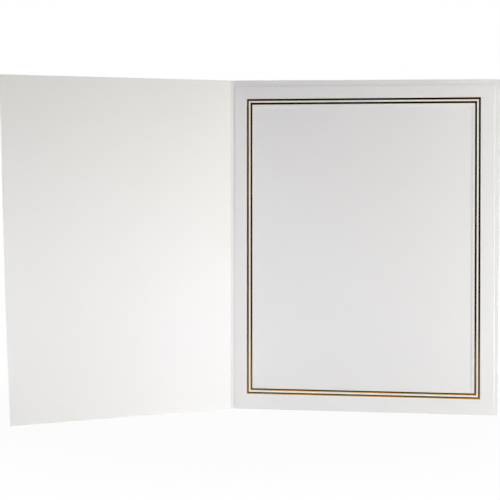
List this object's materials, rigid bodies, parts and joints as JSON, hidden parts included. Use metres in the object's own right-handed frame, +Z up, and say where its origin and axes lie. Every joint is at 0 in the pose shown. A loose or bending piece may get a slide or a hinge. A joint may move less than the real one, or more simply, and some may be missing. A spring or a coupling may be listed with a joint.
{
  "type": "photo folder",
  "caption": "Card photo folder that stands open like a book: a plain cover on a scored spine, and a top-loading print pocket behind a die-cut window edged with gold foil rules.",
  "frame": {"origin": "middle of the footprint of the folder as it stands open, on the surface that it stands on", "axes": "+X along the back panel from the spine to its free edge, +Y from the window side to the rear of the back panel, +Z up along the spine"},
  "size_m": [0.3714, 0.1882, 0.285],
  "materials": {
    "card": "satin white board",
    "foil": "hot-stamped gold foil, glossy",
    "glue": "dried adhesive, translucent"
  },
  "bodies": {
    "holder": {"back_panel": "card", "bottom_fold": "card", "window_frame": "card", "foil_rule_outer": "foil", "foil_rule_inner": "foil", "glue_strip_left": "glue", "glue_strip_right": "glue", "glue_strip_bottom": "glue"},
    "spine": {"spine_strip": "card", "crease_back": "card", "crease_cover": "card"},
    "cover": {"front_cover": "card"}
  },
  "joints": [
    {"name": "spine_fold", "type": "hinge", "parent": "holder", "child": "spine", "pos_m": [-0.0461, 0.09393, 0.1425], "axis": [0, 0, 1], "range_deg": [-26.85, 63.15]},
    {"name": "cover_fold", "type": "hinge", "parent": "spine", "child": "cover", "pos_m": [-0.04831, 0.09281, 0.1425], "axis": [0, 0, 1], "range_deg": [-26.85, 63.15]}
  ],
  "couplings": [
    {"joint": "cover_fold", "follows": "spine_fold", "ratio": 1}
  ]
}
